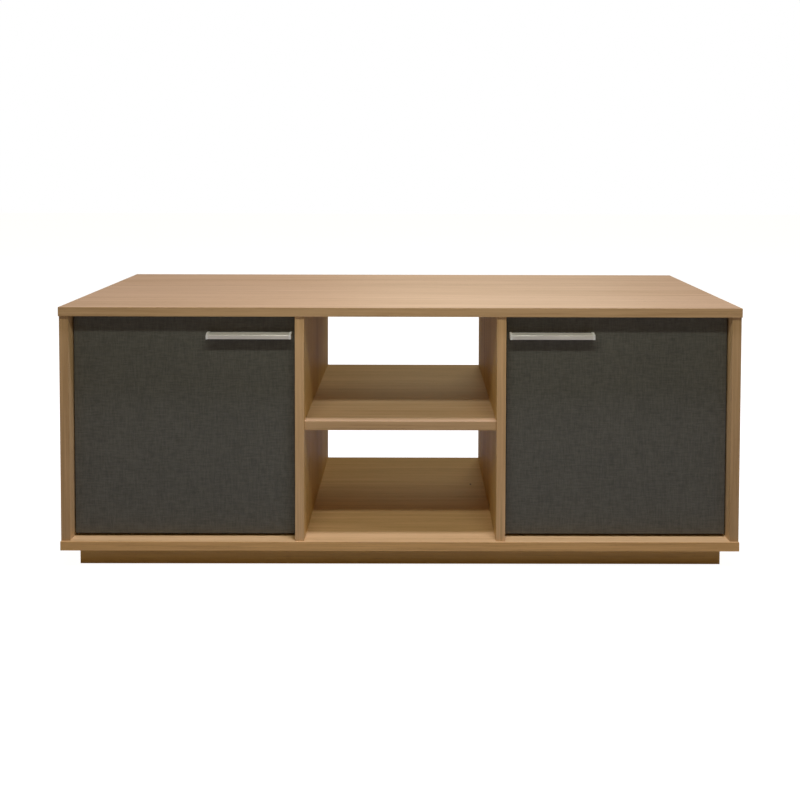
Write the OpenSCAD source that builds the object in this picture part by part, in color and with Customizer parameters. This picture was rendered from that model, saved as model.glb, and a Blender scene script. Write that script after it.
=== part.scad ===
// Low television cabinet: a board carcass with an open centre bay, one fixed shelf, two hinged cupboard doors and a recessed plinth.
// Units are millimetres. X runs along the width, Y from front to back, Z upwards. The origin is on the floor under the middle of the cabinet.

/* [Carcass] */
// Overall width across the top panel
overall_width = 1200; // [1100:10:1400]
// Overall depth from front edge to rear edge
overall_depth = 400; // [360:10:450]
// Height of the side panels between the top and bottom panels
upright_height = 400; // [380:10:460]
// Thickness of every board
board = 16; // [16:0.5:18]
// Thickness of the edging strips
edging = 1; // [0.8:0.1:1.2]
// Set-back of the upright panels behind the front edges of the top and bottom
upright_setback = 4; // [2:1:8]

/* [Centre bay] */
// Clear width between the two dividers
bay_width = 340; // [300:10:420]
// Set-back of the shelf behind the front edge of the top
shelf_setback = 10; // [4:1:60]
// Height of the shelf centre above the bottom panel, as a part of the bay height
shelf_level = 0.51; // [0.43:0.01:0.58]

/* [Plinth] */
// Height of the plinth
plinth_height = 38; // [34:1:50]
// Inset of the plinth from the front and rear edges of the bottom panel
plinth_inset = 30; // [20:1:50]
// Inset of the plinth from the ends of the bottom panel
plinth_end_inset = 23; // [15:1:50]

/* [Doors] */
// Set-back of the door fronts behind the front edge of the top
door_setback = 22; // [21:1:30]
// Gap at the sides of each door
door_side_gap = 2.5; // [2.5:0.1:3]
// Gap above each door
door_top_gap = 3; // [2:0.5:5]
// Gap below each door
door_bottom_gap = 5; // [2:0.5:6]
// Distance of the hinge centres from the top and bottom edges of the door
hinge_inset = 92; // [85:1:110]

/* [Handles] */
// Length of the handle with its end pieces
handle_length = 150; // [120:5:180]
// Distance of the handle's inner end from the divider
handle_end_gap = 7; // [5:1:12]
// Projection of the handle in front of the door
handle_depth = 16.5; // [16.5:0.5:19]
// Top of the handle below the underside of the top panel
handle_drop = 30; // [28:0.5:50]
// Depth of the handle's sloping top face
hood_depth = 9; // [8:0.5:10]
// Fall of the sloping top face from its back to the lip
handle_fall = 3.8; // [3:0.1:4.5]
// Height of the front lip
lip_height = 7.5; // [7:0.1:9]

/* [Back panels] */
// Thickness of the back panels
back_thickness = 3; // [3:0.5:4]
// Distance of the back panels from the rear edges
back_inset = 10; // [8:1:14]

/* [Hidden] */
$fn = 48;
eps = 0.5;
strip_gap = 0.05;

half_w = overall_width / 2;
y_front = -overall_depth / 2;
y_rear = overall_depth / 2;
z_bottom = plinth_height;
z_low = z_bottom + board;
z_high = z_low + upright_height;
z_top = z_high + board;
y_upright = y_front + upright_setback;
bay_half = bay_width / 2;
cup_in = bay_half + board;
cup_out = half_w - board;
side_mid = half_w - board / 2;
div_mid = bay_half + board / 2;

shelf_y = y_front + shelf_setback;
shelf_mid = z_low + upright_height * shelf_level;
shelf_z = shelf_mid - board / 2;

// Cam and bolt fittings
cam_d = 15;
cam_depth = 12.5;
cam_play = 0.1;
cam_from_end = 34;
bolt_axis_depth = 8;
bolt_bore = 8;
bolt_shank = 7;
bolt_thread = 5.8;
bolt_hole = 6;
bolt_reach = 11;
head_d = 6.8;
neck_d = 4.4;
fit_y = [y_front + 50, y_rear - 70];
dowel_y = [y_front + 82, y_rear - 102];
shelf_fit_y = [shelf_y + 45, y_rear - 70];
shelf_dowel_y = [shelf_y + 77, y_rear - 102];
dowel_d = 7.8;
dowel_hole = 8;
dowel_deep = 19;
dowel_reach = 11.5;
cap_d = 17;
cap_t = 1;

// Back panels in their grooves
back_y = y_rear - back_inset - back_thickness;
groove_depth = 6.6;
groove_play = 0.2;
back_tongue = 6;

// Doors
door_y = y_front + door_setback;
door_in = cup_in + door_side_gap;
door_out = cup_out - door_side_gap;
door_w = door_out - door_in;
door_z = z_low + door_bottom_gap;
door_top = z_high - door_top_gap;
door_h = door_top - door_z;
hinge_z = [door_z + hinge_inset, door_top - hinge_inset];

// Concealed hinges, measured from the side panel's inner face and the door's front face
pin_x = 18;
pin_y = 8;
pin_d = 3;
pin_half = 12.7;
pin_bore = 3.1;
ear_bore = 3.02;
knuckle_d = 5;
knuckle_half = 7;
arm_t = 2;
arm_half = 6;
arm_x = 6;
arm_end = 78;
arm_path = [[pin_x, pin_y], [28.5, 12], [30, 22], [28, 28], [arm_x, 34], [arm_x, arm_end]];
cup_x = 22.5;
cup_d = 35;
cup_wall = 1.2;
cup_depth = 12;
flange_t = 0.8;
flange_d = 38;
wing_x = 32;
wing_w = 13;
wing_half = 29;
cup_screw_z = 22.5;
screw_d = 3.4;
screw_hole = 3.6;
plate_t = 2.5;
plate_y = 38;
plate_l = 34;
plate_half = 24;
rib_t = 2.5;
rib_half = 5;
plate_screw_y = 53;
plate_screw_z = 16;
arm_screw_y = 68;

// Handles
handle_in = cup_in + handle_end_gap;
handle_out = handle_in + handle_length;
handle_top = z_high - handle_drop;
handle_t = 2;
handle_end_t = 4;
handle_foot_drop = 1;
boss_d = 7;
boss_l = 12;
handle_screw_in = 8;
handle_screw_d = 3.9;
handle_hole = 4.3;

// Plinth
plinth_half = half_w - plinth_end_inset;
plinth_y = y_front + plinth_inset;
plinth_back_y = y_rear - plinth_inset;
block = 24;
block_h = plinth_height - 2;
upright_screw_x = 7;
rail_screw_x = 17;
rail_screw_z = 26;
rail_screw_l = block + 10;

// ---- basic shapes ----

module box(x0, x1, y0, y1, z0, z1) {
    translate([x0, y0, z0])
        cube([x1 - x0, y1 - y0, z1 - z0]);
}

module x_rod(x0, x1, y, z, d) {
    translate([x0, y, z])
        rotate([0, 90, 0])
            cylinder(h = x1 - x0, d = d);
}

module y_rod(x, y0, y1, z, d) {
    translate([x, y0, z])
        rotate([-90, 0, 0])
            cylinder(h = y1 - y0, d = d);
}

module z_rod(x, y, z0, z1, d) {
    translate([x, y, z0])
        cylinder(h = z1 - z0, d = d);
}

// A bent strip's edge: the path's points moved sideways by half its thickness, mitred at the bends.
function unit(v) = v / norm(v);
function left_of(v) = [-v[1], v[0]];
function run_at(path, i) = unit(path[max(i, 1)] - path[max(i, 1) - 1]);
function run_after(path, i) = run_at(path, min(i + 1, len(path) - 1));
function mitre(path, i) = unit(left_of(run_at(path, i)) + left_of(run_after(path, i)));
function edge_point(path, i, t) = path[i] + t * mitre(path, i) / (mitre(path, i) * left_of(run_at(path, i)));

module bent_strip(path, t) {
    last = len(path) - 1;
    polygon(concat(
        [for (i = [0:last]) edge_point(path, i, t / 2)],
        [for (i = [last:-1:0]) edge_point(path, i, -t / 2)]
    ));
}

// A countersunk wood screw pointing along +Z with its head's face at z = 0.
module wood_screw(length, d, head) {
    cylinder(h = length, d = d);
    cylinder(h = (head - d) / 2, d1 = head, d2 = d);
}

// ---- joint fittings: the cam turns about Z below a face at z = 0, and its bolt arrives along +X ----

module cam() {
    difference() {
        translate([0, 0, -cam_depth + 0.2])
            cylinder(h = cam_depth - 0.4, d = cam_d - 2 * cam_play);
        x_rod(0, cam_d, 0, -bolt_axis_depth, neck_d + 0.8);
        x_rod(-1, 3.4, 0, -bolt_axis_depth, head_d + 0.4);
        z_rod(0, 0, -3, 1, 4.2);
    }
}

module cam_bolt() {
    translate([0, 0, -bolt_axis_depth]) {
        x_rod(-0.4, 2.6, 0, 0, head_d);
        x_rod(2.6, 9, 0, 0, neck_d);
        x_rod(9, cam_from_end - 0.2, 0, 0, bolt_shank);
        x_rod(cam_from_end - 0.2, cam_from_end + bolt_reach - 0.4, 0, 0, bolt_thread);
    }
}

module cam_cap() {
    cylinder(h = cap_t, d = cap_d);
    z_rod(0, 0, -2.6, 0, 4);
}

module cam_holes() {
    z_rod(0, 0, -cam_depth, eps, cam_d);
    x_rod(0, cam_from_end, 0, -bolt_axis_depth, bolt_bore);
    x_rod(cam_from_end - eps, cam_from_end + bolt_reach, 0, -bolt_axis_depth, bolt_hole);
}

// Puts a fitting on an upright's face: sx is the face's outward side, sz the end the bolt leaves by.
module on_upright(sx, face, y, sz) {
    z_end = sz > 0 ? z_high - cam_from_end : z_low + cam_from_end;
    multmatrix([
        [0, 0, sx, face],
        [0, -sx * sz, 0, y],
        [sz, 0, 0, z_end],
        [0, 0, 0, 1]
    ])
        children();
}

// Puts a fitting under the shelf: sx is the end the bolt leaves by.
module under_shelf(sx, y) {
    multmatrix([
        [sx, 0, 0, sx * (bay_half - cam_from_end)],
        [0, -sx, 0, y],
        [0, 0, -1, shelf_z],
        [0, 0, 0, 1]
    ])
        children();
}

module side_fittings(side) {
    for (y = fit_y, sz = [-1, 1])
        on_upright(-side, side * cup_out, y, sz)
            children();
}

module divider_fittings(side) {
    for (y = fit_y, sz = [-1, 1])
        on_upright(side, side * cup_in, y, sz)
            children();
}

module shelf_fittings() {
    for (y = shelf_fit_y, sx = [-1, 1])
        under_shelf(sx, y)
            children();
}

module all_fittings() {
    for (side = [-1, 1]) {
        side_fittings(side)
            children();
        divider_fittings(side)
            children();
    }
    shelf_fittings()
        children();
}

// Dowels stand in the uprights' ends and lie in the shelf's ends.
module upright_dowels(x, play, d) {
    for (y = dowel_y) {
        z_rod(x, y, z_low - dowel_reach + play, z_low + dowel_deep - play, d);
        z_rod(x, y, z_high - dowel_deep + play, z_high + dowel_reach - play, d);
    }
}

module shelf_dowels(play, d) {
    for (y = shelf_dowel_y, side = [-1, 1]) {
        x_in = bay_half - dowel_deep + play;
        x_out = bay_half + dowel_reach - play;
        x_rod(min(side * x_in, side * x_out), max(side * x_in, side * x_out), y, shelf_mid, d);
    }
}

module joint_holes() {
    for (side = [-1, 1]) {
        side_fittings(side)
            cam_holes();
        divider_fittings(side)
            cam_holes();
        upright_dowels(side * side_mid, 0, dowel_hole);
        upright_dowels(side * div_mid, 0, dowel_hole);
    }
}

module shelf_holes() {
    shelf_fittings()
        cam_holes();
    shelf_dowels(0, dowel_hole);
}

// ---- top and bottom ----

module plate_core(z0) {
    box(-half_w + edging, half_w - edging, y_front + edging, y_rear - edging, z0, z0 + board);
}

module plate_edging(z0) {
    box(-half_w, half_w, y_front, y_front + edging, z0, z0 + board);
    box(-half_w, half_w, y_rear - edging, y_rear, z0, z0 + board);
    for (x = [-half_w, half_w - edging])
        box(x, x + edging, y_front + edging + strip_gap, y_rear - edging - strip_gap, z0, z0 + board);
}

module back_groove(side, grow) {
    x_in = cup_in - back_tongue - grow;
    x_out = cup_out + back_tongue + grow;
    box(
        min(side * x_in, side * x_out), max(side * x_in, side * x_out),
        back_y - groove_play, back_y + back_thickness + groove_play,
        z_low - back_tongue - grow, z_high + back_tongue + grow
    );
}

module back_grooves() {
    back_groove(-1, groove_depth - back_tongue);
    back_groove(1, groove_depth - back_tongue);
}

module top_panel() {
    color([0.79, 0.67, 0.54])
        difference() {
            plate_core(z_high);
            joint_holes();
            back_grooves();
        }
}

module top_edging() {
    color([0.6, 0.48, 0.34])
        plate_edging(z_high);
}

module bottom_panel() {
    color([0.7, 0.57, 0.43])
        difference() {
            plate_core(z_bottom);
            joint_holes();
            back_grooves();
            plinth_screw_holes();
        }
}

module bottom_edging() {
    color([0.6, 0.48, 0.34])
        plate_edging(z_bottom);
}

// ---- uprights ----

module upright_core(x_mid) {
    box(x_mid - board / 2, x_mid + board / 2, y_upright + edging, y_rear - edging, z_low, z_high);
}

module upright_edging(x_mid) {
    box(x_mid - board / 2, x_mid + board / 2, y_upright, y_upright + edging, z_low, z_high);
    box(x_mid - board / 2, x_mid + board / 2, y_rear - edging, y_rear, z_low, z_high);
}

module side_panel(side) {
    color([0.55, 0.43, 0.3])
        difference() {
            upright_core(side * side_mid);
            side_fittings(side)
                cam_holes();
            upright_dowels(side * side_mid, 0, dowel_hole);
            back_groove(side, groove_depth - back_tongue);
            hinges(side)
                plate_screw_holes();
        }
}

module divider(side) {
    color([0.5, 0.39, 0.27])
        difference() {
            upright_core(side * div_mid);
            divider_fittings(side)
                cam_holes();
            upright_dowels(side * div_mid, 0, dowel_hole);
            back_groove(side, groove_depth - back_tongue);
            shelf_holes();
        }
}

module left_side_panel() {
    side_panel(-1);
}

module right_side_panel() {
    side_panel(1);
}

module left_divider() {
    divider(-1);
}

module right_divider() {
    divider(1);
}

module left_side_edging() {
    color([0.6, 0.48, 0.34])
        upright_edging(-side_mid);
}

module right_side_edging() {
    color([0.6, 0.48, 0.34])
        upright_edging(side_mid);
}

module left_divider_edging() {
    color([0.6, 0.48, 0.34])
        upright_edging(-div_mid);
}

module right_divider_edging() {
    color([0.6, 0.48, 0.34])
        upright_edging(div_mid);
}

// ---- shelf and back panels ----

module centre_shelf() {
    color([0.62, 0.5, 0.36])
        difference() {
            box(-bay_half, bay_half, shelf_y + edging, y_rear - edging, shelf_z, shelf_z + board);
            shelf_holes();
        }
}

module shelf_edging() {
    color([0.6, 0.48, 0.34]) {
        box(-bay_half, bay_half, shelf_y, shelf_y + edging, shelf_z, shelf_z + board);
        box(-bay_half, bay_half, y_rear - edging, y_rear, shelf_z, shelf_z + board);
    }
}

module back_panel(side) {
    x_in = cup_in - back_tongue;
    x_out = cup_out + back_tongue;
    color([0.45, 0.34, 0.24])
        box(
            min(side * x_in, side * x_out), max(side * x_in, side * x_out),
            back_y, back_y + back_thickness,
            z_low - back_tongue, z_high + back_tongue
        );
}

module left_back_panel() {
    back_panel(-1);
}

module right_back_panel() {
    back_panel(1);
}

// ---- plinth ----

block_x = [-plinth_half + board, -board / 2 - block, plinth_half - board - block];
block_y = [plinth_y + board, plinth_back_y - board - block];

module plinth_screw_holes() {
    for (x = block_x, y = block_y)
        z_rod(x + upright_screw_x, y + block / 2, 0, z_bottom + 10, 4.2);
}

module rail_screw_holes() {
    for (x = block_x)
        y_rod(x + rail_screw_x, plinth_y + 5, plinth_back_y - 5, rail_screw_z, 4.2);
}

module plinth_rail(y0) {
    color([0.4, 0.3, 0.17])
        difference() {
            box(-plinth_half, plinth_half, y0, y0 + board, 0, plinth_height);
            rail_screw_holes();
        }
}

module plinth_cross(x_mid) {
    color([0.4, 0.3, 0.17])
        box(x_mid - board / 2, x_mid + board / 2, plinth_y + board, plinth_back_y - board, 0, plinth_height);
}

module plinth_front() {
    plinth_rail(plinth_y);
}

module plinth_back() {
    plinth_rail(plinth_back_y - board);
}

module plinth_left_end() {
    plinth_cross(-plinth_half + board / 2);
}

module plinth_right_end() {
    plinth_cross(plinth_half - board / 2);
}

module plinth_cross_rail() {
    plinth_cross(0);
}

module plinth_blocks() {
    color([0.8, 0.68, 0.5])
        difference() {
            for (x = block_x, y = block_y)
                box(x, x + block, y, y + block, plinth_height - block_h, plinth_height);
            plinth_screw_holes();
            for (x = block_x, y = block_y)
                translate([x + upright_screw_x, y + block / 2, plinth_height - block_h - 0.1])
                    cylinder(h = 2.3, d1 = 8.6, d2 = 4.2);
            rail_screw_holes();
        }
}

module plinth_screws() {
    color([0.75, 0.72, 0.6]) {
        for (x = block_x, y = block_y)
            translate([x + upright_screw_x, y + block / 2, plinth_height - block_h + 0.2])
                wood_screw(block_h + 9, 4, 8);
        for (x = block_x) {
            translate([x + rail_screw_x, block_y[0] + block + 0.05, rail_screw_z])
                rotate([90, 0, 0])
                    rail_screw();
            translate([x + rail_screw_x, block_y[1] - 0.05, rail_screw_z])
                rotate([-90, 0, 0])
                    rail_screw();
        }
    }
}

// A pan-head screw pointing along +Z with its head behind z = 0.
module rail_screw() {
    cylinder(h = rail_screw_l, d = 3.9);
    translate([0, 0, -2])
        cylinder(h = 2, d = 8);
}

// ---- carcass fittings ----

module cam_locks() {
    color([0.7, 0.7, 0.7])
        all_fittings()
            cam();
}

module cam_bolts() {
    color([0.75, 0.73, 0.68])
        all_fittings()
            cam_bolt();
}

module cam_cover_caps() {
    color([0.62, 0.5, 0.38])
        all_fittings()
            cam_cap();
}

module wood_dowels() {
    color([0.82, 0.7, 0.52]) {
        for (side = [-1, 1]) {
            upright_dowels(side * side_mid, 0.25, dowel_d);
            upright_dowels(side * div_mid, 0.25, dowel_d);
        }
        shelf_dowels(0.25, dowel_d);
    }
}

// ---- hinges: children are drawn for the left door, then mirrored for the right ----

module on_side(side) {
    mirror([side > 0 ? 1 : 0, 0, 0])
        children();
}

module hinges(side) {
    on_side(side)
        for (z = hinge_z)
            translate([-cup_out, door_y, z])
                children();
}

module hinge_cup() {
    difference() {
        union() {
            y_rod(cup_x, board - cup_depth, board + flange_t, 0, cup_d);
            y_rod(cup_x, board, board + flange_t, 0, flange_d);
            translate([wing_x - wing_w / 2, board, -wing_half])
                cube([wing_w, flange_t, 2 * wing_half]);
        }
        y_rod(cup_x, board - cup_depth + cup_wall, board + 2, 0, cup_d - 2 * cup_wall);
        for (z = [-cup_screw_z, cup_screw_z])
            y_rod(wing_x, board - 1, board + 2, z, screw_hole);
    }
    for (z = [-pin_half - 0.2, knuckle_half + 0.4])
        difference() {
            translate([pin_x - 3, board - cup_depth + cup_wall - 0.2, z])
                cube([6, 6, pin_half - knuckle_half - 0.2]);
            z_rod(pin_x, pin_y, z - 1, z + 8, ear_bore);
        }
}

module hinge_pin() {
    z_rod(pin_x, pin_y, -pin_half, pin_half, pin_d);
}

module hinge_arm() {
    difference() {
        union() {
            z_rod(pin_x, pin_y, -knuckle_half, knuckle_half, knuckle_d);
            translate([0, 0, -arm_half])
                linear_extrude(height = 2 * arm_half)
                    bent_strip(arm_path, arm_t);
        }
        z_rod(pin_x, pin_y, -knuckle_half - 1, knuckle_half + 1, pin_bore);
        x_rod(arm_x - 2, arm_x + 2, arm_screw_y, 0, 4.2);
    }
}

module hinge_plate() {
    difference() {
        union() {
            translate([0, plate_y, -plate_half])
                cube([plate_t, plate_l, 2 * plate_half]);
            translate([plate_t - 0.1, plate_y, -rib_half])
                cube([rib_t + 0.1, arm_end - plate_y, 2 * rib_half]);
        }
        for (z = [-plate_screw_z, plate_screw_z]) {
            x_rod(-1, plate_t + 1, plate_screw_y, z, screw_hole + 0.2);
            translate([plate_t - 1.9, plate_screw_y, z])
                rotate([0, 90, 0])
                    cylinder(h = 2, d1 = screw_hole + 0.2, d2 = 7.8);
        }
        x_rod(-1, plate_t + rib_t + 1, arm_screw_y, 0, 4.2);
    }
}

module cup_screw(z) {
    y_rod(wing_x, board - 10, board + flange_t + 0.1, z, screw_d);
    y_rod(wing_x, board + flange_t, board + flange_t + 1.6, z, 6.6);
}

module plate_screw(z) {
    translate([plate_t - 0.1, plate_screw_y, z])
        rotate([0, -90, 0])
            wood_screw(14, screw_d, 7);
}

module plate_screw_holes() {
    for (z = [-plate_screw_z, plate_screw_z])
        x_rod(-12, 1, plate_screw_y, z, screw_hole);
}

module arm_screw() {
    x_rod(0.5, arm_x + arm_t / 2 + 0.1, arm_screw_y, 0, 4);
    x_rod(arm_x + arm_t / 2, arm_x + arm_t / 2 + 2, arm_screw_y, 0, 8);
}

module cup_bores() {
    y_rod(cup_x, board - cup_depth - 0.2, board + 1, 0, cup_d + 0.2);
    for (z = [-cup_screw_z, cup_screw_z])
        y_rod(wing_x, board - 11, board + 1, z, screw_hole);
}

// ---- doors ----

module door_panel(side) {
    color([0.25, 0.235, 0.21])
        difference() {
            on_side(side)
                box(
                    -door_out + edging, -door_in - edging,
                    door_y, door_y + board,
                    door_z + edging, door_top - edging
                );
            hinges(side)
                cup_bores();
            on_side(side)
                handle_screw_holes();
        }
}

module door_edging(side) {
    color([0.2, 0.19, 0.17])
        on_side(side) {
            box(-door_out, -door_out + edging, door_y, door_y + board, door_z, door_top);
            box(-door_in - edging, -door_in, door_y, door_y + board, door_z, door_top);
            for (z = [door_z, door_top - edging])
                box(
                    -door_out + edging + strip_gap, -door_in - edging - strip_gap,
                    door_y, door_y + board,
                    z, z + edging
                );
        }
}

// ---- handles ----

handle_screw_x = [-handle_out + handle_screw_in, -handle_in - handle_screw_in];
boss_z = handle_top - 8;
lip_top = -handle_fall;
lip_bottom = -handle_fall - lip_height;

module handle_screw_holes() {
    for (x = handle_screw_x)
        y_rod(x, door_y - 1, door_y + board + 1, boss_z, handle_hole);
}

// The bar seen from the end: a thin hood that slopes down to the front, and the lip below it.
module hood_section() {
    back = handle_depth - hood_depth;
    slope = handle_fall / hood_depth;
    polygon([
        [back, 0],
        [handle_depth, lip_top],
        [handle_depth, lip_bottom],
        [handle_depth - handle_t, lip_bottom],
        [handle_depth - handle_t, slope * handle_t + lip_top - handle_t],
        [back, -handle_t]
    ]);
}

// An end piece seen from the end: the hood's outline filled in, carried back to the door.
module end_section() {
    polygon([
        [0, -handle_foot_drop],
        [handle_depth - hood_depth, 0],
        [handle_depth, lip_top],
        [handle_depth, lip_bottom],
        [0, lip_bottom]
    ]);
}

module along_handle(x, length) {
    translate([x, door_y, handle_top])
        rotate([90, 0, -90])
            linear_extrude(height = length)
                children();
}

module handle_bar() {
    along_handle(-handle_in - handle_end_t, handle_length - 2 * handle_end_t)
        hood_section();
}

module handle_end(x, screw_x) {
    difference() {
        union() {
            along_handle(x, handle_end_t)
                end_section();
            y_rod(screw_x, door_y - boss_l, door_y, boss_z, boss_d);
            box(min(x - 1, screw_x), max(x - handle_end_t + 1, screw_x),
                door_y - boss_l, door_y, boss_z - 1.5, boss_z + 1.5);
        }
        y_rod(screw_x, door_y - boss_l + 1, door_y + 1, boss_z, handle_screw_d + 0.2);
    }
}

module handle_ends() {
    handle_end(-handle_in, handle_screw_x[1]);
    handle_end(-handle_out + handle_end_t, handle_screw_x[0]);
}

module handle_screws() {
    for (x = handle_screw_x) {
        y_rod(x, door_y - boss_l + 1.5, door_y + board + 0.1, boss_z, handle_screw_d);
        y_rod(x, door_y + board, door_y + board + 2.4, boss_z, 8);
    }
}

module left_door() {
    door_panel(-1);
}

module right_door() {
    door_panel(1);
}

module left_door_edging() {
    door_edging(-1);
}

module right_door_edging() {
    door_edging(1);
}

module left_handle() {
    color([0.72, 0.71, 0.68])
        handle_bar();
}

module right_handle() {
    color([0.72, 0.71, 0.68])
        on_side(1)
            handle_bar();
}

module left_handle_ends() {
    color([0.76, 0.76, 0.75])
        handle_ends();
}

module right_handle_ends() {
    color([0.76, 0.76, 0.75])
        on_side(1)
            handle_ends();
}

module left_handle_screws() {
    color([0.7, 0.7, 0.7])
        handle_screws();
}

module right_handle_screws() {
    color([0.7, 0.7, 0.7])
        on_side(1)
            handle_screws();
}

module hinge_cups(side) {
    color([0.74, 0.74, 0.74])
        hinges(side)
            hinge_cup();
}

module hinge_pins(side) {
    color([0.6, 0.6, 0.6])
        hinges(side)
            hinge_pin();
}

module hinge_arms(side) {
    color([0.74, 0.74, 0.74])
        hinges(side)
            hinge_arm();
}

module hinge_plates(side) {
    color([0.7, 0.7, 0.7])
        hinges(side)
            hinge_plate();
}

module hinge_cup_screws(side) {
    color([0.7, 0.7, 0.7])
        hinges(side)
            for (z = [-cup_screw_z, cup_screw_z])
                cup_screw(z);
}

module hinge_plate_screws(side) {
    color([0.7, 0.7, 0.7])
        hinges(side)
            for (z = [-plate_screw_z, plate_screw_z])
                plate_screw(z);
}

module hinge_arm_screws(side) {
    color([0.7, 0.7, 0.7])
        hinges(side)
            arm_screw();
}

// ---- the cabinet ----

top_panel();
top_edging();
bottom_panel();
bottom_edging();
left_side_panel();
left_side_edging();
right_side_panel();
right_side_edging();
left_divider();
left_divider_edging();
right_divider();
right_divider_edging();
centre_shelf();
shelf_edging();
left_back_panel();
right_back_panel();
plinth_front();
plinth_back();
plinth_left_end();
plinth_right_end();
plinth_cross_rail();
plinth_blocks();
plinth_screws();
cam_locks();
cam_bolts();
cam_cover_caps();
wood_dowels();
left_door();
left_door_edging();
left_handle();
left_handle_ends();
left_handle_screws();
hinge_cups(-1);  // left_hinge_cups
hinge_pins(-1);  // left_hinge_pins
hinge_arms(-1);  // left_hinge_arms
hinge_plates(-1);  // left_hinge_plates
hinge_cup_screws(-1);  // left_hinge_cup_screws
hinge_plate_screws(-1);  // left_hinge_plate_screws
hinge_arm_screws(-1);  // left_hinge_arm_screws
right_door();
right_door_edging();
right_handle();
right_handle_ends();
right_handle_screws();
hinge_cups(1);  // right_hinge_cups
hinge_pins(1);  // right_hinge_pins
hinge_arms(1);  // right_hinge_arms
hinge_plates(1);  // right_hinge_plates
hinge_cup_screws(1);  // right_hinge_cup_screws
hinge_plate_screws(1);  // right_hinge_plate_screws
hinge_arm_screws(1);  // right_hinge_arm_screws
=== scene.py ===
"""Dresses the television cabinet.

It has oak boards and edging, dark doors with a woven look, metal handles, hinges and joint fittings.
"""

import math
from operator import mul

import bmesh
import bpy
from bpy.props import FloatProperty, FloatVectorProperty, PointerProperty
from bpy.types import Operator, Panel, PropertyGroup
from mathutils import Matrix, Vector


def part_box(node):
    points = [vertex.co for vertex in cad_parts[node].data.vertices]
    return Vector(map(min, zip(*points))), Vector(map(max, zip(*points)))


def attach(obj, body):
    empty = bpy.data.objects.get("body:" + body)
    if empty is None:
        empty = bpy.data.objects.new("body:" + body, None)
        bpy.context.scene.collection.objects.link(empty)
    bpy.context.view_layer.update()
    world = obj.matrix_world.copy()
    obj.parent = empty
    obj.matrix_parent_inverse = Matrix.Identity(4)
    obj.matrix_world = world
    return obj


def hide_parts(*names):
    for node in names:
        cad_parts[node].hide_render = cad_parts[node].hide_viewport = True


bl_info = {
    "name": "Television cabinet",
    "version": (1, 0, 0),
    "blender": (4, 5, 0),
    "location": "3D View > Sidebar > Cabinet",
    "description": "Dresses a low television cabinet with oak boards, dark doors and metal fittings",
    "category": "Object",
}

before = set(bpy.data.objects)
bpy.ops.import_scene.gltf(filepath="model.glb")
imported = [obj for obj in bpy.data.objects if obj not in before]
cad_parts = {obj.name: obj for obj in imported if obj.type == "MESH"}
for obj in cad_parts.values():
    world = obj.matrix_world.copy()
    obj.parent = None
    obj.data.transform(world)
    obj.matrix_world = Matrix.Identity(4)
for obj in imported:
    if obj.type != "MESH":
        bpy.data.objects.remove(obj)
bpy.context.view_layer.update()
MM = 0.001
HALF_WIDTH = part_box("top_edging")[1].x
END_STRIP = 1.2 * MM
WELD_DISTANCE = 0.005 * MM
CLOSING_DISTANCE = 0.002 * MM
PLINTH_ROUNDING = 0.3 * MM
BLOCK_ROUNDING = 0.5 * MM
DOOR_EDGE_ROUNDING = 0.35 * MM
HANDLE_ROUNDING = 0.9 * MM
END_PIECE_ROUNDING = 0.4 * MM
HINGE_ROUNDING = 0.25 * MM
PIN_ROUNDING = 0.15 * MM
FITTING_ROUNDING = 0.2 * MM
DOWEL_ROUNDING = 0.4 * MM
BEVEL_ANGLE = math.radians(35)
SMOOTH_ANGLE = math.radians(40)

# how much redder, greener and bluer than the plain oak each board is painted: these tints are painted light
# and shade, since all the boards are the same oak
# painted shade: the plinth, under the bottom board, is painted darker and more orange than the plain oak
PLINTH_PAINTED_SHADE = (0.94, 0.83, 0.36)
# painted sheen: the top is painted greyer and bluer than the plain oak, standing in for the pale sheen on its
# gloss
TOP_PAINTED_SHEEN = (0.94, 0.94, 1.04)
# painted warm light: the bottom board is painted warmer than the plain oak, to take the cool overhead light's
# tint back off it
BOTTOM_PAINTED_SHADE = (1.08, 1.04, 0.86)
# painted shade: the bottom board's edging, low by the floor, is painted darker and more orange than the other
# edging
BOTTOM_EDGE_PAINTED_SHADE = (0.96, 0.82, 0.48)
# painted shade: the side panels are painted a little warmer than the plain oak, for the warm shade on their
# inner faces
SIDE_PAINTED_SHADE = (1.0, 0.98, 0.86)
# painted shade: the dividers are painted much less blue than the plain oak, for the warm shade on their faces
# inside the bays
DIVIDER_PAINTED_SHADE = (1.03, 1.02, 0.64)
UPRIGHTS = (
    ("left_side_panel", SIDE_PAINTED_SHADE), ("left_divider", DIVIDER_PAINTED_SHADE),
    ("right_divider", DIVIDER_PAINTED_SHADE), ("right_side_panel", SIDE_PAINTED_SHADE),
)

# a small dark knot in the bottom board: its place, how it is stretched, and its colour
PIN_KNOT = Vector((0.142, 0.051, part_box("bottom_panel")[1].z))
KNOT_STRETCH = (330.0, 150.0, 330.0)
KNOT_SHADE = (0.07, 0.035, 0.015)


# ---- sizes and colours that a user would change ----


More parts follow.
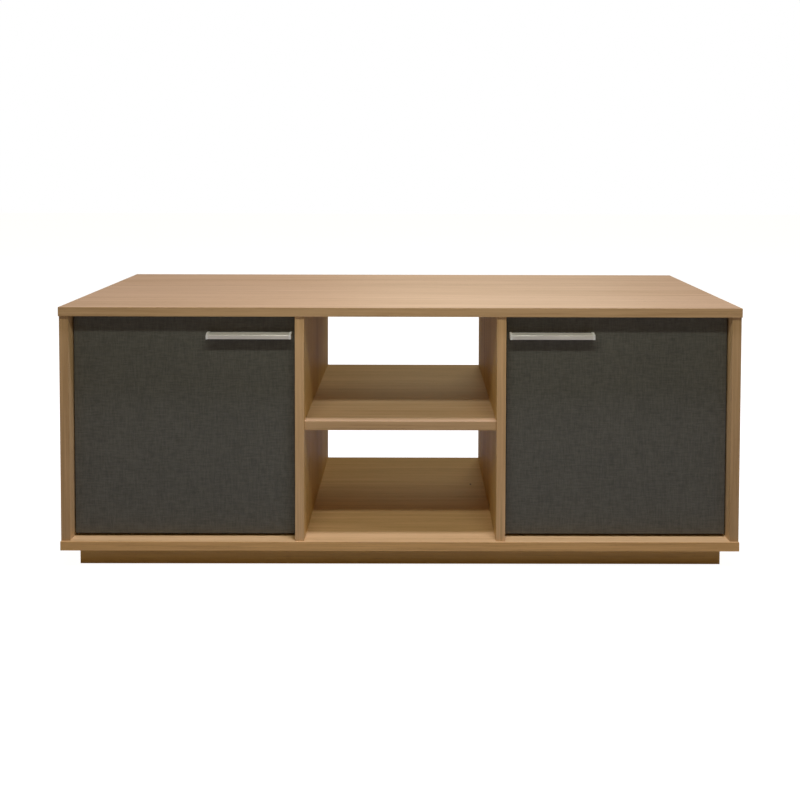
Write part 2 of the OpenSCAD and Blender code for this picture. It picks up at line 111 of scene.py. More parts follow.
class OakSettings(PropertyGroup):
    """The oak-effect boards and their edging."""

    pale: FloatVectorProperty(
        name="Pale wood", description="Colour of the wood between the growth rings",
        default=(0.68, 0.455, 0.255), size=3, subtype="COLOR", min=0, max=1,
    )
    dark: FloatVectorProperty(
        name="Dark wood", description="Colour of the growth rings and streaks",
        default=(0.5, 0.315, 0.15), size=3, subtype="COLOR", min=0, max=1,
    )
    pore: FloatVectorProperty(
        name="Pores", description="Colour at the bottom of the wood's pores",
        default=(0.2, 0.105, 0.045), size=3, subtype="COLOR", min=0, max=1,
    )
    # edge_shade is partly the edging's own darker tone and partly painted shade: its low blue keeps the front
    # edges warm under the cool lights
    edge_shade: FloatVectorProperty(
        name="Edging shade", description="How much darker the edging is than the faces, for each colour",
        default=(0.8, 0.75, 0.63), size=3, min=0.3, max=1,
    )
    rounding: FloatProperty(
        name="Edge rounding", description="Radius on the edging's corners",
        default=0.4 * MM, min=0, max=0.6 * MM, unit="LENGTH", precision=5,
    )


class DoorSettings(PropertyGroup):
    """The doors' dark woven-look facing."""

    thread: FloatVectorProperty(
        name="Thread", description="Colour of the raised threads",
        default=(0.172, 0.163, 0.128), size=3, subtype="COLOR", min=0, max=1,
    )
    gap: FloatVectorProperty(
        name="Between threads", description="Colour between the threads",
        default=(0.052, 0.052, 0.043), size=3, subtype="COLOR", min=0, max=1,
    )
    pitch: FloatProperty(
        name="Thread pitch", description="Distance from one thread to the next",
        default=1.1 * MM, min=0.3 * MM, max=4 * MM, unit="LENGTH", precision=5,
    )


class MetalSettings(PropertyGroup):
    """Handles, hinges and fixings."""

    aluminium: FloatVectorProperty(
        name="Aluminium", description="Colour of the anodised handles",
        default=(0.8, 0.775, 0.71), size=3, subtype="COLOR", min=0, max=1,
    )
    end_piece: FloatVectorProperty(
        name="End pieces", description="Colour of the handles' satin end pieces",
        default=(0.86, 0.85, 0.81), size=3, subtype="COLOR", min=0, max=1,
    )
    nickel: FloatVectorProperty(
        name="Nickel", description="Colour of the plated hinges",
        default=(0.66, 0.65, 0.62), size=3, subtype="COLOR", min=0, max=1,
    )
    zinc: FloatVectorProperty(
        name="Zinc", description="Colour of the zinc-plated screws and bolts",
        default=(0.62, 0.6, 0.52), size=3, subtype="COLOR", min=0, max=1,
    )


class StudioSettings(PropertyGroup):
    """Camera and lights."""

    lens: FloatProperty(
        name="Lens", description="Focal length of the camera",
        default=35.82, min=20, max=100, subtype="DISTANCE_CAMERA",
    )
    ambient: FloatProperty(
        name="Room light", description="Strength of the even light from all round",
        default=0.13, min=0, max=2,
    )
    key: FloatProperty(
        name="Front light", description="Power of the high front light",
        default=8.9, min=0, max=400, unit="POWER",
    )
    overhead: FloatProperty(
        name="Overhead light", description="Power of the light above the cabinet",
        default=62.0, min=0, max=400, unit="POWER",
    )
    fill: FloatProperty(
        name="Fill light", description="Power of the broad, low light in front of the cabinet",
        default=7.0, min=0, max=400, unit="POWER",
    )
    back: FloatProperty(
        name="Back light", description="Power of the broad light behind the cabinet",
        default=8.8, min=0, max=400, unit="POWER",
    )
    sides: FloatProperty(
        name="Side lights", description="Power of each low light beside the cabinet",
        default=9.0, min=0, max=400, unit="POWER",
    )


def settings(group):
    return getattr(bpy.context.scene, "tv_cabinet_" + group)


# ---- shader maths ----


class Value:
    """One output of a shader node. Sums of values add their Math nodes."""

    def __init__(self, finish, socket):
        self.finish = finish
        self.socket = socket

    def math(self, operation, *others):
        return self.finish.node(
            "ShaderNodeMath", {"operation": operation}, dict(enumerate([self, *others]))
        )

    def __add__(self, other):
        return self.math("ADD", other)

    __radd__ = __add__

    def __mul__(self, other):
        return self.math("MULTIPLY", other)

    __rmul__ = __mul__

    def __sub__(self, other):
        return self.math("SUBTRACT", other)

    def __rsub__(self, other):
        return self.finish.node(
            "ShaderNodeMath", {"operation": "SUBTRACT"}, {0: other, 1: self}
        )

    def __truediv__(self, other):
        return self.math("DIVIDE", other)

    def __gt__(self, other):
        return self.math("GREATER_THAN", other)

    def __abs__(self):
        return self.math("ABSOLUTE")


class Finish:
    """A material under construction: one method makes every node."""

    def __init__(self, name, **constants):
        self.material = bpy.data.materials.new(name)
        self.material.use_nodes = True
        self.tree = self.material.node_tree
        self.tree.nodes.clear()
        self.shader = self.tree.nodes.new("ShaderNodeBsdfPrincipled")
        out = self.tree.nodes.new("ShaderNodeOutputMaterial")
        self.tree.links.new(self.shader.outputs[0], out.inputs["Surface"])
        for socket, value in constants.items():
            label = socket.replace("_", " ").title().replace("Ior", "IOR")
            self.shader.inputs[label].default_value = value

    def node(self, kind, options=None, sockets=None, out=0):
        """Makes a node, sets its options, then its sockets' values or links, and returns one output."""
        made = self.tree.nodes.new(kind)
        for option, value in (options or {}).items():
            if option == "stops":
                ramp = made.color_ramp
                while len(ramp.elements) < len(value):
                    ramp.elements.new(0.5)
                for stop, (place, shade) in zip(ramp.elements, value):
                    stop.position = place
                    stop.color = (*shade, 1) if hasattr(shade, "__len__") else (shade,) * 3 + (1,)
            else:
                setattr(made, option, value)
        for socket, value in (sockets or {}).items():
            if isinstance(value, Value):
                self.tree.links.new(value.socket, made.inputs[socket])
            else:
                made.inputs[socket].default_value = value
        return Value(self, made.outputs[out])

    def place(self):
        """Position on the object, in metres."""
        return self.node("ShaderNodeTexCoord", out="Object")

    def split(self, vector):
        made = self.node("ShaderNodeSeparateXYZ", None, {0: vector}).socket.node
        return [Value(self, made.outputs[i]) for i in range(3)]

    def join(self, x, y, z):
        return self.node("ShaderNodeCombineXYZ", None, {0: x, 1: y, 2: z})

    def stretch(self, vector, scale, shift=(0, 0, 0)):
        return self.node(
            "ShaderNodeVectorMath", {"operation": "MULTIPLY_ADD"}, {0: vector, 1: scale, 2: shift}
        )

    def noise(self, vector, detail=2.0, roughness=0.5, distortion=0.0):
        return self.node(
            "ShaderNodeTexNoise",
            None,
            {
                "Vector": vector, "Scale": 1.0, "Detail": detail,
                "Roughness": roughness, "Distortion": distortion,
            },
        )

    def ramp(self, value, *stops):
        return self.node("ShaderNodeValToRGB", {"stops": stops}, {0: value})

    def mix(self, amount, first, second, blend="MIX"):
        """Mixes two colours."""
        return self.node(
            "ShaderNodeMix",
            {"data_type": "RGBA", "blend_type": blend},
            {0: amount, 6: self.colour(first), 7: self.colour(second)},
            out=2,
        )

    def colour(self, shade):
        return shade if isinstance(shade, Value) else (*tuple(shade)[:3], 1)

    def swap(self, amount, first, second):
        """Takes the first vector where amount is 0 and the second where it is 1."""
        return self.node(
            "ShaderNodeMix", {"data_type": "VECTOR"}, {0: amount, 4: first, 5: second}, out=1
        )

    def relief(self, height, depth, strength=1.0):
        """A Bump node feeding the shader's normal; depth in metres."""
        bump = self.node("ShaderNodeBump", None, {"Height": height, "Distance": depth, "Strength": strength})
        self.tree.links.new(bump.socket, self.shader.inputs["Normal"])

    def feed(self, **values):
        for socket, value in values.items():
            self.tree.links.new(value.socket, self.shader.inputs[socket.replace("_", " ").title()])
        return self.material


# ---- finishes ----

GRAIN_ORDER = {"X": (0, 1, 2), "Y": (1, 0, 2), "Z": (2, 1, 0)}

# noise cells in a metre along, across and through the grain
WANDER = (1.1, 4.0, 4.0)
BANDS = (1.6, 85.0, 85.0)
BROAD = (1.1, 7.0, 7.0)
STREAKS = (7.0, 380.0, 380.0)
PORES = (60.0, 1500.0, 1500.0)
PATCHES = (1.5, 3.5, 3.5)
RINGS_ALONG = 0.6
RINGS_ACROSS = 34.0
SAMPLE_STEP = (1.0, 0.37, 0.61)

# the same for the doors' weave: threads that lie, threads that stand, and their thick places
LYING_SLUB = (14, 14, 260)
STANDING_SLUB = (260, 260, 14)
LYING_DASHES = (55, 55, 420)
STANDING_DASHES = (420, 420, 55)

PINK_PATCH = (0.75, 0.5, 0.27)
GREY_PATCH = (0.5, 0.36, 0.2)
BEECH_DARK = (0.5, 0.31, 0.15)
BEECH_PALE = (0.72, 0.52, 0.3)
HARDBOARD_DARK = (0.34, 0.21, 0.105)
HARDBOARD_PALE = (0.42, 0.27, 0.145)
BRUSH_LENGTH = 120
CAP_BROWN = (0.42, 0.27, 0.14)
PIN_STEEL = (0.5, 0.5, 0.5)


def oak(name, grain, turned_ends=None, shade=(1, 1, 1), shift=0.0, gloss=0.42, contrast=1.0, knot=None):
    """Oak-effect melamine with the grain along one axis.

    turned_ends = (axis, distance) turns the grain on the strips beyond that distance from the middle.
    shift moves the sample of grain, so that no two boards are alike, and knot is where a dark pin knot lies.
    """
    wood = settings("oak")
    finish = Finish(name, specular_ior_level=0.5)
    axes = finish.split(finish.place())
    along, across, through = (axes[i] for i in GRAIN_ORDER[grain])
    run = finish.join(along, across, through)
    if turned_ends:
        axis, distance = turned_ends
        beyond = abs(axes["XYZ".index(axis)]) > distance
        run = finish.swap(beyond, run, finish.join(axes[1], axes[0], axes[2]))
    run = finish.stretch(run, (1, 1, 1), [shift * step for step in SAMPLE_STEP])

    wander = finish.noise(finish.stretch(run, WANDER), 2, 0.5)
    u, v, w = finish.split(run)
    rings = finish.join(u * RINGS_ALONG, v * RINGS_ACROSS + wander * 5.0, w * RINGS_ACROSS + wander * 2.5)
    figure = finish.noise(rings, 3, 0.55)
    bands = finish.noise(finish.stretch(run, BANDS), 4, 0.62, 0.1)
    broad = finish.noise(finish.stretch(run, BROAD), 2, 0.5)
    streaks = finish.noise(finish.stretch(run, STREAKS), 3, 0.65)
    pores = finish.noise(finish.stretch(run, PORES), 2, 0.6)

    tone = figure * 0.6 + bands * 0.8 + streaks * 0.85 + broad * 0.25
    pale = tuple(map(mul, wood.pale, shade))
    dark = tuple(map(mul, wood.dark, shade))
    deep = tuple(map(mul, wood.pore, shade))
    spread = 0.11 / contrast
    amount = finish.ramp(tone / 2.5, (0.5 - spread, 0.0), (0.5, 0.45), (0.5 + spread, 1.0))
    timber = finish.mix(amount, pale, dark)
    pitted = finish.ramp(pores, (0.3, 1.0), (0.4, 0.0))
    open_pore = pitted * finish.ramp(bands, (0.42, 0.0), (0.56, 1.0))
    timber = finish.mix(open_pore * 0.45, timber, deep)
    patches = finish.noise(finish.stretch(run, PATCHES, (4, 2, 1)), 1, 0.5)
    timber = finish.mix(0.1, timber, finish.ramp(patches, (0.35, PINK_PATCH), (0.65, GREY_PATCH)))
    if knot:
        centred = [-place * scale for place, scale in zip(knot, KNOT_STRETCH)]
        offset = finish.stretch(finish.place(), KNOT_STRETCH, centred)
        reach = finish.node("ShaderNodeVectorMath", {"operation": "LENGTH"}, {0: offset}, out=1)
        timber = finish.mix(finish.ramp(reach + streaks * 0.4, (0.55, 0.92), (1.1, 0.0)), timber, KNOT_SHADE)
    finish.relief(streaks * 0.5 - open_pore * 0.8, 0.06 * MM, 0.5)
    roughness = bands * 0.12 + open_pore * 0.15 + (gloss - 0.06)
    return finish.feed(base_color=timber, roughness=roughness)


def hardboard():
    """Smooth brown hardboard with its fibres showing."""
    finish = Finish("hardboard", specular_ior_level=0.35)
    place = finish.place()
    fibre = finish.noise(finish.stretch(place, (900, 900, 900)), 3, 0.7)
    cloud = finish.noise(finish.stretch(place, (14, 14, 14)), 3, 0.5)
    shade = finish.ramp(cloud * 0.6 + fibre * 0.4, (0.3, HARDBOARD_DARK), (0.7, HARDBOARD_PALE))
    finish.relief(fibre, 0.05 * MM, 0.6)
    return finish.feed(base_color=shade, roughness=0.45 + cloud * 0.2)


def beech():
    """Plain planed beech for dowels and corner blocks."""
    finish = Finish("planed_beech", specular_ior_level=0.3)
    place = finish.place()
    flecks = finish.noise(finish.stretch(place, (900, 120, 900)), 3, 0.6)
    cloud = finish.noise(finish.stretch(place, (30, 8, 30)), 2, 0.5)
    shade = finish.ramp(flecks * 0.6 + cloud * 0.4, (0.3, BEECH_DARK), (0.65, BEECH_PALE))
    finish.relief(flecks, 0.05 * MM, 0.5)
    return finish.feed(base_color=shade, roughness=0.6 + flecks * 0.15)


def woven_door(name="dark_linen"):
    """Dark melamine pressed with a linen weave."""
    door = settings("door")
    finish = Finish(name, specular_ior_level=0.4)
    place = finish.place()
    x, y, z = finish.split(place)
    slub = finish.noise(finish.stretch(place, LYING_SLUB), 2, 0.6)
    slub_up = finish.noise(finish.stretch(place, STANDING_SLUB), 2, 0.6)
    turn = 2 * math.pi / door.pitch
    weft = (z * turn + slub_up * 2.5).math("SINE")
    warp = ((x + y) * turn + slub * 2.5).math("SINE")
    cross = (weft * warp) * 0.5 + 0.5
    lying = finish.noise(finish.stretch(place, LYING_DASHES), 2, 0.7)
    standing = finish.noise(finish.stretch(place, STANDING_DASHES, (3, 1, 7)), 2, 0.7)
    thread = cross * 0.4 + slub * 0.1 + slub_up * 0.1
    dashes = finish.ramp(lying * 0.5 + standing * 0.5, (0.36, 0.0), (0.62, 1.0))
    cloud = finish.noise(finish.stretch(place, (9, 9, 9)), 2, 0.5)
    amount = thread * 0.5 + dashes * 0.22 + cloud * 0.1
    shade = finish.mix(finish.ramp(amount, (0.1, 0.0), (0.75, 1.0)), door.gap, door.thread)
    finish.relief(thread + dashes * 0.4, 0.14 * MM, 0.6)
    return finish.feed(base_color=shade, roughness=0.5 + thread * 0.15)


def brushed(name, colour, along="X", fine=5000.0, rough=0.3, metallic=1.0):
    """Brushed or drawn metal with fine lines along one axis."""
    finish = Finish(name, metallic=metallic, specular_ior_level=0.5)
    place = finish.place()
    scale = [fine] * 3
    scale["XYZ".index(along)] = fine / BRUSH_LENGTH
    lines = finish.noise(finish.stretch(place, scale), 3, 0.6)
    smear = finish.noise(finish.stretch(place, (22, 60, 60)), 2, 0.5)
    tone = lines * 0.5 + smear * 0.5
    lighter = tuple(min(1, c * 1.1) for c in colour)
    darker = tuple(c * 0.86 for c in colour)
    shade = finish.mix(finish.ramp(tone, (0.35, 0.0), (0.65, 1.0)), darker, lighter)
    finish.relief(lines, 0.01 * MM, 0.35)
    return finish.feed(base_color=shade, roughness=lines * 0.14 + (rough - 0.05))


def plated(name, colour, rough=0.28):
    """Bright plated metal with a faint orange-peel and handling marks."""
    finish = Finish(name, metallic=1.0)
    place = finish.place()
    peel = finish.noise(finish.stretch(place, (700, 700, 700)), 3, 0.6)
    cloud = finish.noise(finish.stretch(place, (90, 90, 90)), 3, 0.6)
    darker = tuple(c * 0.81 for c in colour)
    shade = finish.mix(finish.ramp(cloud, (0.35, 0.0), (0.7, 1.0)), darker, colour)
    finish.relief(peel, 0.01 * MM, 0.4)
    return finish.feed(base_color=shade, roughness=cloud * 0.2 + (rough - 0.08))


def moulded(name, colour, rough=0.5):
    """Moulded plastic with a fine spark texture."""
    finish = Finish(name, specular_ior_level=0.45)
    place = finish.place()
    spark = finish.noise(finish.stretch(place, (2600, 2600, 2600)), 2, 0.6)
    cloud = finish.noise(finish.stretch(place, (40, 40, 40)), 2, 0.5)
    lighter = tuple(min(1, c * 1.1) for c in colour)
    darker = tuple(c * 0.88 for c in colour)
    shade = finish.mix(cloud, darker, lighter)
    finish.relief(spark, 0.02 * MM, 0.4)
    return finish.feed(base_color=shade, roughness=spark * 0.1 + (rough - 0.05))


# ---- dressing CAD nodes ----


def dress(nodes, material, rounding=0.0, segments=2):
    """Gives CAD nodes a material and, where asked, small rounded edges."""
    for name in nodes:
        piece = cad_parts[name]
        piece.data.materials.clear()
        piece.data.materials.append(material)
        if rounding:
            weld = piece.modifiers.new("Weld", "WELD")
            weld.merge_threshold = WELD_DISTANCE
            bevel = piece.modifiers.new("Rounding", "BEVEL")
            bevel.width = rounding
            bevel.segments = segments
            bevel.limit_method = "ANGLE"
            bevel.angle_limit = BEVEL_ANGLE
            bevel.harden_normals = True


# ---- turned pieces ----

CAP_FLANGE = 1 * MM

# end of the node's name, axis, body, depth of the head
SCREWS = (
    ("_handle_screws", 1, "leaf", 2.4 * MM),
    ("_hinge_cup_screws", 1, "leaf", 1.6 * MM),
    ("_hinge_plate_screws", 0, "carcass", 1.8 * MM),
    ("_hinge_arm_screws", 0, "carcass", 2 * MM),
)


def islands(node, axis=None):
    """The separate bodies of a CAD node: for each, its back end, its head end and its radius.

    The ends lie along the axis given, or along each body's shortest one.
    """
    shape = bmesh.new()
    shape.from_mesh(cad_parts[node].data)
    bmesh.ops.remove_doubles(shape, verts=shape.verts, dist=WELD_DISTANCE)
    waiting = set(shape.verts)
    found = []
    for first in shape.verts:
        if first not in waiting:
            continue
        waiting.discard(first)
        stack = [first]
        part = []
        while stack:
            vertex = stack.pop()
            part.append(vertex.co.copy())
            near = {edge.other_vert(vertex) for edge in vertex.link_edges} & waiting
            waiting -= near
            stack.extend(near)
        low = Vector([min(p[i] for p in part) for i in range(3)])
        high = Vector([max(p[i] for p in part) for i in range(3)])
        middle = (low + high) / 2
        size = high - low
        along = min(range(3), key=lambda i: size[i]) if axis is None else axis
        across = [i for i in range(3) if i != along]
        radius = max(size[i] for i in across) / 2
        outer = [p for p in part if math.hypot(*((p - middle)[i] for i in across)) > radius * 0.9]
        rim = [p[along] for p in outer]
        ends = [middle.copy(), middle.copy()]
        ends[0][along], ends[1][along] = low[along], high[along]
        if sum(rim) / len(rim) < middle[along]:
            ends.reverse()
        found.append((*ends, radius))
    shape.free()
    return found


def turned(shape, start, end, profile, recess=0.0, sides=32):
    """Turns a profile about the line from start to end, with a cross recess in the end face if asked.

    The profile is a row of rings: each one's distance back from the end, and its radius.
    """
    aim = (end - start).normalized()
    turn = aim.to_track_quat("Z", "Y")
    angles = [2 * math.pi * k / sides for k in range(sides)]
    circle = [Vector((math.cos(angle), math.sin(angle), 0)) for angle in angles]
    loops = []
    for back, radius in profile:
        centre = end - aim * back
        loops.append([shape.verts.new(centre + turn @ (point * radius)) for point in circle])
    for one, two in zip(loops, loops[1:]):
        for k in range(sides):
            shape.faces.new((one[k], one[(k + 1) % sides], two[(k + 1) % sides], two[k]))
    shape.faces.new(loops[-1])
    if not recess:
        shape.faces.new(loops[0])
        return
    arm = recess
    slim = recess * 0.24
    outline = (
        (arm, -slim), (arm, slim), (slim, slim), (slim, arm), (-slim, arm), (-slim, slim),
        (-arm, slim), (-arm, -slim), (-slim, -slim), (-slim, -arm), (slim, -arm), (slim, -slim),
    )
    brim = []
    floor = []
    for verts, sink, size in ((brim, 0.0, 1.0), (floor, recess * 0.8, 0.6)):
        centre = end - aim * (profile[0][0] + sink)
        for x, y in outline:
            verts.append(shape.verts.new(centre + turn @ Vector((x * size, y * size, 0))))
    count = len(outline)
    for k in range(count):
        shape.faces.new((brim[k], brim[(k + 1) % count], floor[(k + 1) % count], floor[k]))
    shape.faces.new(floor)
    rims = []
    for loop in (loops[0], brim):
        for k in range(len(loop)):
            rims.append(shape.edges.get((loop[k], loop[(k + 1) % len(loop)])))
    bmesh.ops.triangle_fill(shape, edges=rims, use_beauty=True)


def finished(shape, name, node, body, material):
    """Makes a piece that stands for a CAD node, moves with its body and keeps its material slot."""
    bmesh.ops.recalc_face_normals(shape, faces=shape.faces)
    mesh = bpy.data.meshes.new(name)
    shape.to_mesh(mesh)
    shape.free()
    mesh.materials.append(material)
    piece = bpy.data.objects.new(name, mesh)
    bpy.context.scene.collection.objects.link(piece)
    mesh.shade_smooth()
    smooth = piece.modifiers.new("Edges", "EDGE_SPLIT")
    smooth.split_angle = SMOOTH_ANGLE
    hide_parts(node)
    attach(piece, body)
    return piece


def screws(node, axis, body, material, depth, shank=0.5):
    """Pan-head screws with a cross recess and a ridged shank, in place of a CAD node's plain ones.

    depth is the head's, and shank is the shank's radius as a part of the head's.
    """
    shape = bmesh.new()
    for tip, head, radius in islands(node, axis):
        length = (head - tip).length
        core = radius * shank
        profile = [
            (depth * 0.02, radius * 0.62), (depth * 0.2, radius * 0.86), (depth * 0.5, radius * 0.985),
            (depth * 0.7, radius), (depth, radius * 0.95), (depth, core),
        ]
        pitch = max(core * 0.45, 0.4 * MM)
        ridges = int((length - depth - core) / pitch)
        for k in range(ridges):
            profile.append((depth + (k + 0.5) * pitch, core * 0.82))
            profile.append((depth + (k + 1) * pitch, core))
        profile.append((length, core * 0.4))
        turned(shape, tip, head, profile, radius * 0.5)
    return finished(shape, node + "_turned", node, body, material)


def caps(node, body, material):
    """Slightly dished cover caps with a rounded rim."""
    shape = bmesh.new()
    for inner, face, radius in islands(node):
        deep = (face - inner).length
        lip = min(0.5 * MM, deep * 0.3)
        profile = [
            (lip * 0.75, radius * 0.35), (lip * 0.7, radius * 0.72), (lip * 0.1, radius * 0.8),
            (0.0, radius * 0.87), (lip * 0.25, radius * 0.95), (lip, radius),
            (CAP_FLANGE, radius), (CAP_FLANGE, radius * 0.75), (deep, radius * 0.72),
        ]
        turned(shape, inner, face, profile)
    return finished(shape, node + "_dished", node, body, material)


class CABINET_OT_boards(Operator):
    """Dress the top, bottom, uprights and shelf in oak"""

    bl_idname = "cabinet.boards"
    bl_label = "Oak boards"

    def execute(self, context):
        # the boards' tints are painted light: painted sheen on the top, painted warm shade on the bottom and
        # the uprights
        dress(["top_panel"], oak("oak_top", "X", None, TOP_PAINTED_SHEEN, 0.3, 0.4))
        dress(["bottom_panel"], oak("oak_bottom", "X", None, BOTTOM_PAINTED_SHADE, 1.7, knot=PIN_KNOT))
        dress(["centre_shelf"], oak("oak_shelf", "X", shift=3.1))
        for number, (name, shade) in enumerate(UPRIGHTS):
            dress([name], oak("oak_" + name, "Z", None, shade, 4.4 + 1.3 * number, 0.5))
        return {"FINISHED"}


class CABINET_OT_edging(Operator):
    """Dress the edging strips, rounded a little at their corners"""

    bl_idname = "cabinet.edging"
    bl_label = "Edging strips"

    def execute(self, context):
        wood = settings("oak")
        round_off = wood.rounding
        ends = ("X", HALF_WIDTH - END_STRIP)
        # the bottom edging's tint is painted shade; the other edging's edge_shade is partly painted shade
        for name, turned_ends, shade, shift in (
            ("top", ends, wood.edge_shade, 0.9),
            ("bottom", ends, BOTTOM_EDGE_PAINTED_SHADE, 2.1),
            ("shelf", None, wood.edge_shade, 2.9),
        ):
            strip = oak("edging_" + name, "X", turned_ends, shade, shift, contrast=1.5)
            dress([name + "_edging"], strip, round_off)
        for number, (name, shade) in enumerate((("side", 1.0), ("divider", 1.2))):
            strips = [f"{side}_{name}_edging" for side in ("left", "right")]
            tone = [c * shade for c in wood.edge_shade]
            dress(strips, oak(f"edging_{name}s", "Z", None, tone, 5.6 + number, contrast=1.4), round_off)
        return {"FINISHED"}


class CABINET_OT_plinth(Operator):
    """Dress the plinth with its blocks and screws"""

    bl_idname = "cabinet.plinth"
    bl_label = "Plinth"

    def execute(self, context):
        # the plinth's oak is painted darker and more orange, as painted shade
        long_rails = oak("oak_plinth", "X", shade=PLINTH_PAINTED_SHADE, shift=7.7)
        dress(["plinth_front", "plinth_back"], long_rails, PLINTH_ROUNDING)
        short_rails = oak("oak_plinth_ends", "Y", shade=PLINTH_PAINTED_SHADE, shift=8.9)
        dress(["plinth_left_end", "plinth_right_end", "plinth_cross_rail"], short_rails, PLINTH_ROUNDING)
        dress(["plinth_blocks"], beech(), BLOCK_ROUNDING)
        return {"FINISHED"}


class CABINET_OT_backs(Operator):
    """Dress the back panels in hardboard"""

    bl_idname = "cabinet.backs"
    bl_label = "Back panels"

    def execute(self, context):
        dress(["left_back_panel", "right_back_panel"], hardboard())
        return {"FINISHED"}


class CABINET_OT_doors(Operator):
    """Dress the doors and their edging in dark linen"""

    bl_idname = "cabinet.doors"
    bl_label = "Doors"

    def execute(self, context):
        linen = woven_door()
        dress(["left_door", "right_door"], linen)
        strip = moulded("door_edging", settings("door").gap, 0.55)
        dress(["left_door_edging", "right_door_edging"], strip, DOOR_EDGE_ROUNDING)
        return {"FINISHED"}


class CABINET_OT_handles(Operator):
    """Dress the handles in brushed aluminium, with bright end pieces"""

    bl_idname = "cabinet.handles"
    bl_label = "Handles"

    def execute(self, context):
        metal = settings("metal")
        anodised = brushed("brushed_aluminium", metal.aluminium, rough=0.36, metallic=0.5)
        dress(["left_handle", "right_handle"], anodised, HANDLE_ROUNDING, 4)
        satin = brushed("satin_zinc", metal.end_piece, "Y", 3000, 0.45, 0.3)
        dress(["left_handle_ends", "right_handle_ends"], satin, END_PIECE_ROUNDING, 3)
        return {"FINISHED"}


class CABINET_OT_hinges(Operator):
    """Dress the concealed hinges and their screws"""

    bl_idname = "cabinet.hinges"
    bl_label = "Hinges"

    def execute(self, context):
        nickel = plated("nickel_plate", settings("metal").nickel)
        zinc = plated("zinc_plate", settings("metal").zinc, 0.32)
        for side in ("left", "right"):
            dress([side + "_hinge_" + part for part in ("cups", "arms", "plates")], nickel, HINGE_ROUNDING)
            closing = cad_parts[side + "_hinge_arms"].modifiers.new("Closing", "WELD")
            closing.merge_threshold = CLOSING_DISTANCE
            dress([side + "_hinge_pins"], plated("polished_steel_" + side, PIN_STEEL, 0.2), PIN_ROUNDING)
            for ending, axis, body, depth in SCREWS:
                rides = side + "_leaf" if body == "leaf" else body
                screws(side + ending, axis, rides, zinc, depth)
        return {"FINISHED"}


class CABINET_OT_fittings(Operator):
    """Dress the cams, bolts, caps, dowels and plinth screws"""

    bl_idname = "cabinet.fittings"
    bl_label = "Joint fittings"

    def execute(self, context):
        metal = settings("metal")
        dress(["cam_locks"], plated("cast_zinc", tuple(c * 0.8 for c in metal.nickel), 0.45), FITTING_ROUNDING)
        dress(["cam_bolts", "plinth_screws"], plated("plated_bolts", metal.zinc, 0.3), FITTING_ROUNDING)
        caps("cam_cover_caps", "carcass", moulded("cap_plastic", CAP_BROWN))
        dress(["wood_dowels"], beech(), DOWEL_ROUNDING)
        return {"FINISHED"}


# ---- stage ----

CAMERA_PLACE = Vector((0.0222, -1.5864, 0.7306))
CAMERA_DOWN = 0.03
CAMERA_TURN = -0.0023
CAMERA_ROLL = 0.0026
CAMERA_SHIFT = (-0.0193, -0.2714)
AIM = Vector((0, -0.12, 0.3))
ROOM_TINT = (1, 0.7, 0.27)
FRONT_TINT = (0.95, 1, 0.95)
OVERHEAD_TINT = (0.97, 1, 1.4)
FILL_TINT = (1, 0.75, 0.5)
BACK_TINT = (1, 0.98, 0.72)
SIDE_TINT = (1, 0.93, 0.82)

# name, setting for its power, width and height, place, tint
LAMPS = (
    ("front_light", "key", (1.1, 0.07), (0.03, -0.9, 1.45), FRONT_TINT),
    ("overhead_light", "overhead", (0.5, 0.12), (0.25, -0.62, 3.6), OVERHEAD_TINT),
    ("fill_light", "fill", (3.0, 1.4), (0.0, -4.5, 1.0), FILL_TINT),
    ("back_light", "back", (1.2, 0.8), (0.35, 1.6, 1.7), BACK_TINT),
    ("left_light", "sides", (1.2, 0.5), (-2.2, 0.12, 0.26), SIDE_TINT),
    ("right_light", "sides", (1.2, 0.5), (2.2, 0.12, 0.26), SIDE_TINT),
)
SENSOR_WIDTH = 36
FLOOR_REACH = 9.0
FLOOR_COLOUR = (0.38, 0.38, 0.375, 1)
FLOOR_GLOW = 0.96


def lamp(name, power, size, place, tint=(1, 1, 1)):
    """A soft light (width, height) aimed at the cabinet's middle."""
    data = bpy.data.lights.new(name, "AREA")
    data.shape = "RECTANGLE"
    data.size, data.size_y = size
    data.energy = power
    data.color = tint
    piece = bpy.data.objects.new(name, data)
    bpy.context.scene.collection.objects.link(piece)
    piece.location = place
    piece.rotation_euler = (AIM - piece.location).to_track_quat("-Z", "Y").to_euler()
    return piece


def seen_white(tree, shade, unseen, seen, tint=(1, 1, 1)):
    """An emission that is bright where it is looked at and dimmer where it only lights things."""
    path = tree.nodes.new("ShaderNodeLightPath")
    glow = tree.nodes.new("ShaderNodeEmission" if shade else "ShaderNodeBackground")
    blend = tree.nodes.new("ShaderNodeMix")
    blend.data_type = "RGBA"
    blend.inputs[6].default_value = (*tint, 1)
    blend.inputs[7].default_value = (1, 1, 1, 1)
    tree.links.new(path.outputs["Is Camera Ray"], blend.inputs[0])
    tree.links.new(blend.outputs[2], glow.inputs[0])
    strength = tree.nodes.new("ShaderNodeMapRange")
    strength.inputs["To Min"].default_value = unseen
    strength.inputs["To Max"].default_value = seen
    tree.links.new(path.outputs["Is Camera Ray"], strength.inputs["Value"])
    tree.links.new(strength.outputs[0], glow.inputs["Strength"])
    return glow


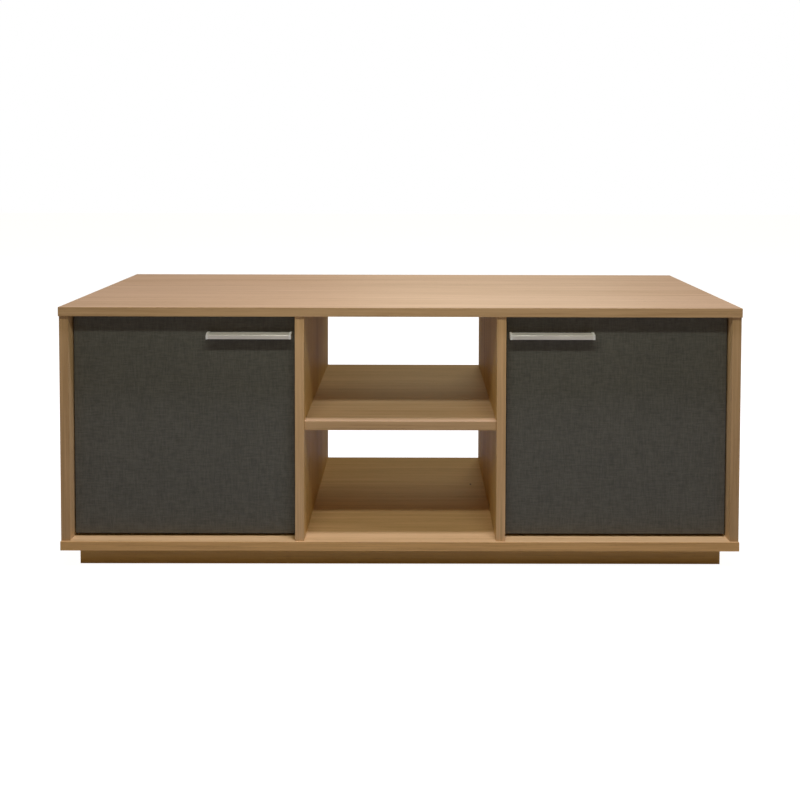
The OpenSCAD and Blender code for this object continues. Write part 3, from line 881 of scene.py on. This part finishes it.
class CABINET_OT_stage(Operator):
    """Lay the floor and set the lights and the camera"""

    bl_idname = "cabinet.stage"
    bl_label = "Stage"

    def execute(self, context):
        studio = settings("studio")
        scene = context.scene
        world = bpy.data.worlds.new("studio")
        scene.world = world
        world.use_nodes = True
        tree = world.node_tree
        tree.nodes.clear()
        sky = seen_white(tree, False, studio.ambient, 1.0, ROOM_TINT)
        out = tree.nodes.new("ShaderNodeOutputWorld")
        tree.links.new(sky.outputs[0], out.inputs["Surface"])

        mesh = bpy.data.meshes.new("studio_floor")
        turns = ((-1, -1), (1, -1), (1, 1), (-1, 1))
        corners = [(x * FLOOR_REACH, y * FLOOR_REACH, 0) for x, y in turns]
        mesh.from_pydata(corners, [], [(0, 1, 2, 3)])
        floor = bpy.data.objects.new("studio_floor", mesh)
        scene.collection.objects.link(floor)
        paint = bpy.data.materials.new("pale_floor")
        paint.use_nodes = True
        tree = paint.node_tree
        tree.nodes.clear()
        matt = tree.nodes.new("ShaderNodeBsdfDiffuse")
        matt.inputs[0].default_value = FLOOR_COLOUR
        glow = seen_white(tree, True, 0.0, FLOOR_GLOW)
        both = tree.nodes.new("ShaderNodeAddShader")
        out = tree.nodes.new("ShaderNodeOutputMaterial")
        tree.links.new(matt.outputs[0], both.inputs[0])
        tree.links.new(glow.outputs[0], both.inputs[1])
        tree.links.new(both.outputs[0], out.inputs["Surface"])
        mesh.materials.append(paint)

        for name, power, size, place, tint in LAMPS:
            lamp(name, getattr(studio, power), size, place, tint)

        data = bpy.data.cameras.new("camera")
        data.sensor_width = SENSOR_WIDTH
        data.lens = studio.lens
        data.shift_x, data.shift_y = CAMERA_SHIFT
        camera = bpy.data.objects.new("camera", data)
        scene.collection.objects.link(camera)
        camera.matrix_world = (
            Matrix.Translation(CAMERA_PLACE)
            @ Matrix.Rotation(CAMERA_TURN, 4, "Z")
            @ Matrix.Rotation(math.pi / 2 - CAMERA_DOWN, 4, "X")
            @ Matrix.Rotation(CAMERA_ROLL, 4, "Z")
        )
        scene.camera = camera
        scene.view_settings.view_transform = "Standard"
        return {"FINISHED"}


# ---- panel and registration ----

STEPS = (
    CABINET_OT_boards,
    CABINET_OT_edging,
    CABINET_OT_plinth,
    CABINET_OT_backs,
    CABINET_OT_doors,
    CABINET_OT_handles,
    CABINET_OT_hinges,
    CABINET_OT_fittings,
    CABINET_OT_stage,
)
GROUPS = {"oak": OakSettings, "door": DoorSettings, "metal": MetalSettings, "studio": StudioSettings}


class CABINET_PT_sidebar(Panel):
    """Lists the cabinet's steps and settings"""

    bl_idname = "CABINET_PT_sidebar"
    bl_label = "Television cabinet"
    bl_space_type = "VIEW_3D"
    bl_region_type = "UI"
    bl_category = "Cabinet"

    def draw(self, context):
        for step in STEPS:
            self.layout.operator(step.bl_idname)
        for group in GROUPS:
            box = self.layout.box()
            box.label(text=group.title())
            for name in GROUPS[group].__annotations__:
                box.prop(settings(group), name)


def register():
    for cls in (*GROUPS.values(), *STEPS, CABINET_PT_sidebar):
        bpy.utils.register_class(cls)
    for group, cls in GROUPS.items():
        setattr(bpy.types.Scene, "tv_cabinet_" + group, PointerProperty(type=cls))


def unregister():
    for group in GROUPS:
        delattr(bpy.types.Scene, "tv_cabinet_" + group)
    for cls in reversed((*GROUPS.values(), *STEPS, CABINET_PT_sidebar)):
        bpy.utils.unregister_class(cls)


def main():
    register()
    for step in STEPS:
        group, name = step.bl_idname.split(".")
        if getattr(getattr(bpy.ops, group), name)() != {"FINISHED"}:
            raise RuntimeError(f"{step.bl_label} did not finish")


if __name__ == "__main__":
    main()
